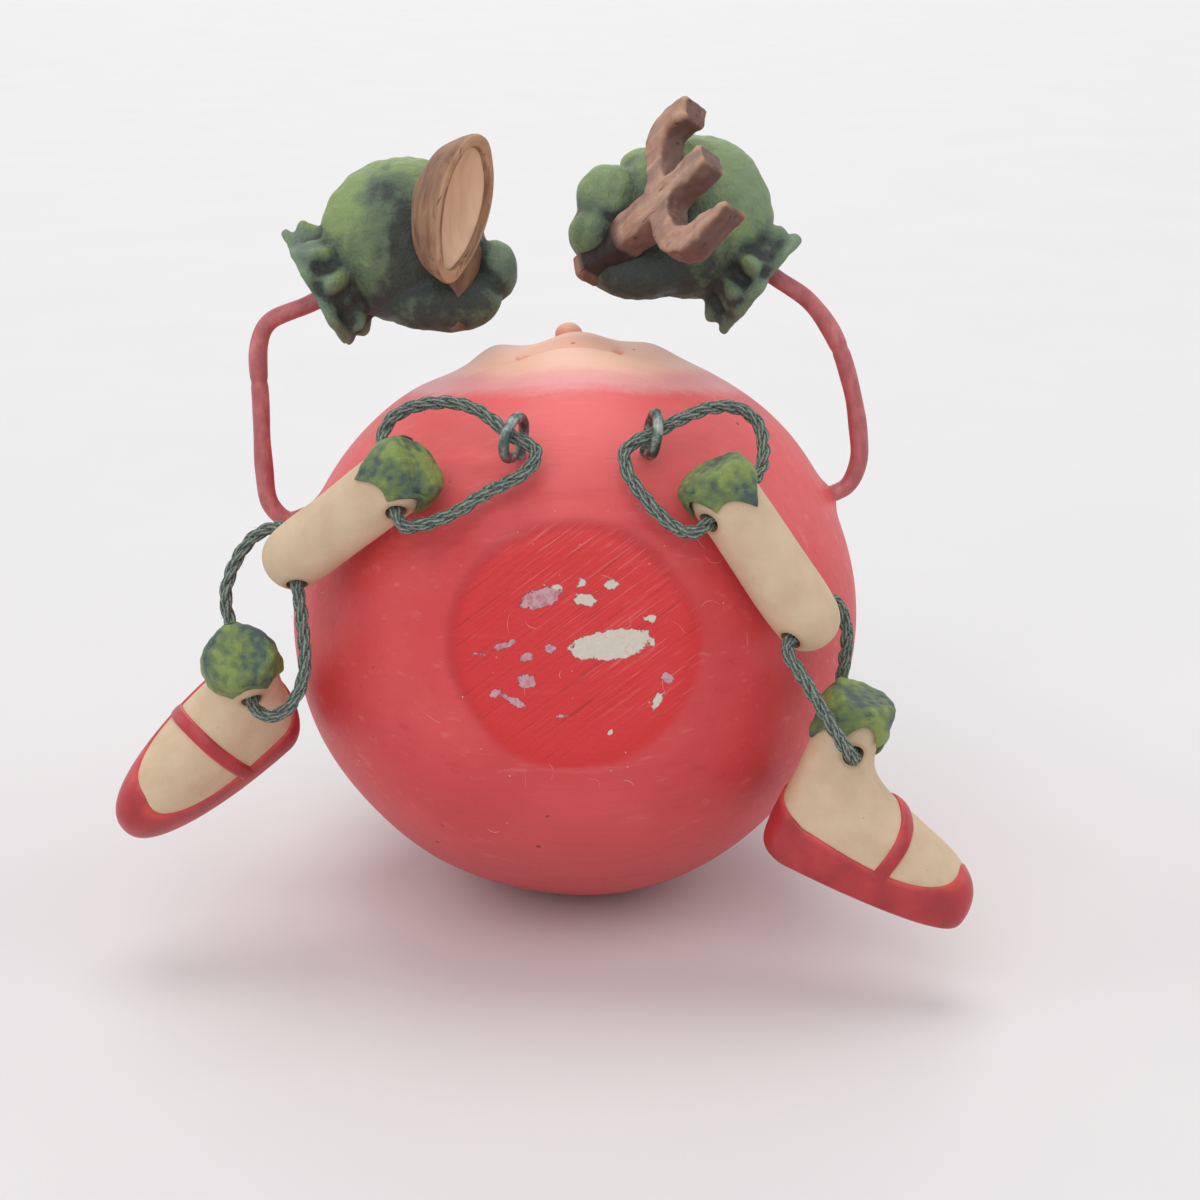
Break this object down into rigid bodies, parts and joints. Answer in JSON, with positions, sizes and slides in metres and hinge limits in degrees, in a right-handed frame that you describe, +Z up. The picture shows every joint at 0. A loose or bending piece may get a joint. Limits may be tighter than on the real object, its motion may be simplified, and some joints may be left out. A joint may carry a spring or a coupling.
{
  "type": "shelf sitter doll",
  "caption": "Ball-bodied shelf sitter doll lying on its back, with bent wire arms, leafy hands holding salad utensils and jointed legs on cord loops.",
  "frame": {"origin": "on the table under the middle of the doll's box, with the doll lying on its back as pictured", "axes": "+Z up from the table, -Y to the side that the flat seat faces, +X to the doll's own left"},
  "size_m": [0.1119, 0.0923, 0.1119],
  "materials": {
    "body_red": "brushed-on satin paint over cast resin, worn on the seat",
    "leaf_green": "satin green paint with dark brush shading",
    "utensil_brown": "brown paint with darker grain lines",
    "limb_cream": "matte cream paint with small red flecks",
    "shoe_red": "satin red paint, brighter at the rim",
    "arm_red": "muted red paint over bent wire",
    "screw_eye_steel": "dull plated wire",
    "cord_grey": "grey-green laid cord"
  },
  "bodies": {
    "torso": {"tomato_body": "body_red", "leaf_crown": "leaf_green", "salad_fork": "utensil_brown", "salad_spoon": "utensil_brown", "left_eye": "screw_eye_steel", "left_arm_wire": "arm_red", "left_hand": "leaf_green", "right_eye": "screw_eye_steel", "right_arm_wire": "arm_red", "right_hand": "leaf_green"},
    "left_hip_loop": {"left_hip_cord": "cord_grey"},
    "left_thigh_body": {"left_thigh": "limb_cream", "left_thigh_leaf": "leaf_green"},
    "left_knee_loop": {"left_knee_cord": "cord_grey"},
    "left_foot_body": {"left_foot": "limb_cream", "left_shoe": "shoe_red", "left_ankle_leaf": "leaf_green"},
    "right_hip_loop": {"right_hip_cord": "cord_grey"},
    "right_thigh_body": {"right_thigh": "limb_cream", "right_thigh_leaf": "leaf_green"},
    "right_knee_loop": {"right_knee_cord": "cord_grey"},
    "right_foot_body": {"right_foot": "limb_cream", "right_shoe": "shoe_red", "right_ankle_leaf": "leaf_green"}
  },
  "joints": [
    {"name": "left_hip_swing", "type": "hinge", "parent": "torso", "child": "left_hip_loop", "pos_m": [0.01488, -0.03064, 0.07282], "axis": [-0.9743, -0.149, 0.1687], "range_deg": [0, 50]},
    {"name": "left_thigh_swing", "type": "hinge", "parent": "left_hip_loop", "child": "left_thigh_body", "pos_m": [0.02431, -0.03601, 0.06522], "axis": [-0.6253, -0.6724, -0.3961], "range_deg": [0, 14]},
    {"name": "left_knee_swing", "type": "hinge", "parent": "left_thigh_body", "child": "left_knee_loop", "pos_m": [0.03471, -0.0366, 0.04981], "axis": [-0.6253, -0.6724, -0.3961], "range_deg": [0, 50]},
    {"name": "left_ankle_swing", "type": "hinge", "parent": "left_knee_loop", "child": "left_foot_body", "pos_m": [0.03973, -0.03784, 0.03416], "axis": [0.1368, -0.9791, -0.1504], "range_deg": [-20, 35]},
    {"name": "right_hip_swing", "type": "hinge", "parent": "torso", "child": "right_hip_loop", "pos_m": [-0.00269, -0.03154, 0.07263], "axis": [-0.8855, 0.4333, 0.1677], "range_deg": [0, 50]},
    {"name": "right_thigh_swing", "type": "hinge", "parent": "right_hip_loop", "child": "right_thigh_body", "pos_m": [-0.01841, -0.03201, 0.06668], "axis": [-0.2145, 0.7518, 0.6235], "range_deg": [0, 14]},
    {"name": "right_knee_swing", "type": "hinge", "parent": "right_thigh_body", "child": "right_knee_loop", "pos_m": [-0.03192, -0.02635, 0.05521], "axis": [-0.2145, 0.7518, 0.6235], "range_deg": [0, 50]},
    {"name": "right_ankle_swing", "type": "hinge", "parent": "right_knee_loop", "child": "right_foot_body", "pos_m": [-0.03824, -0.03086, 0.04122], "axis": [-0.2909, 0.6308, 0.7194], "range_deg": [-8, 35]}
  ]
}
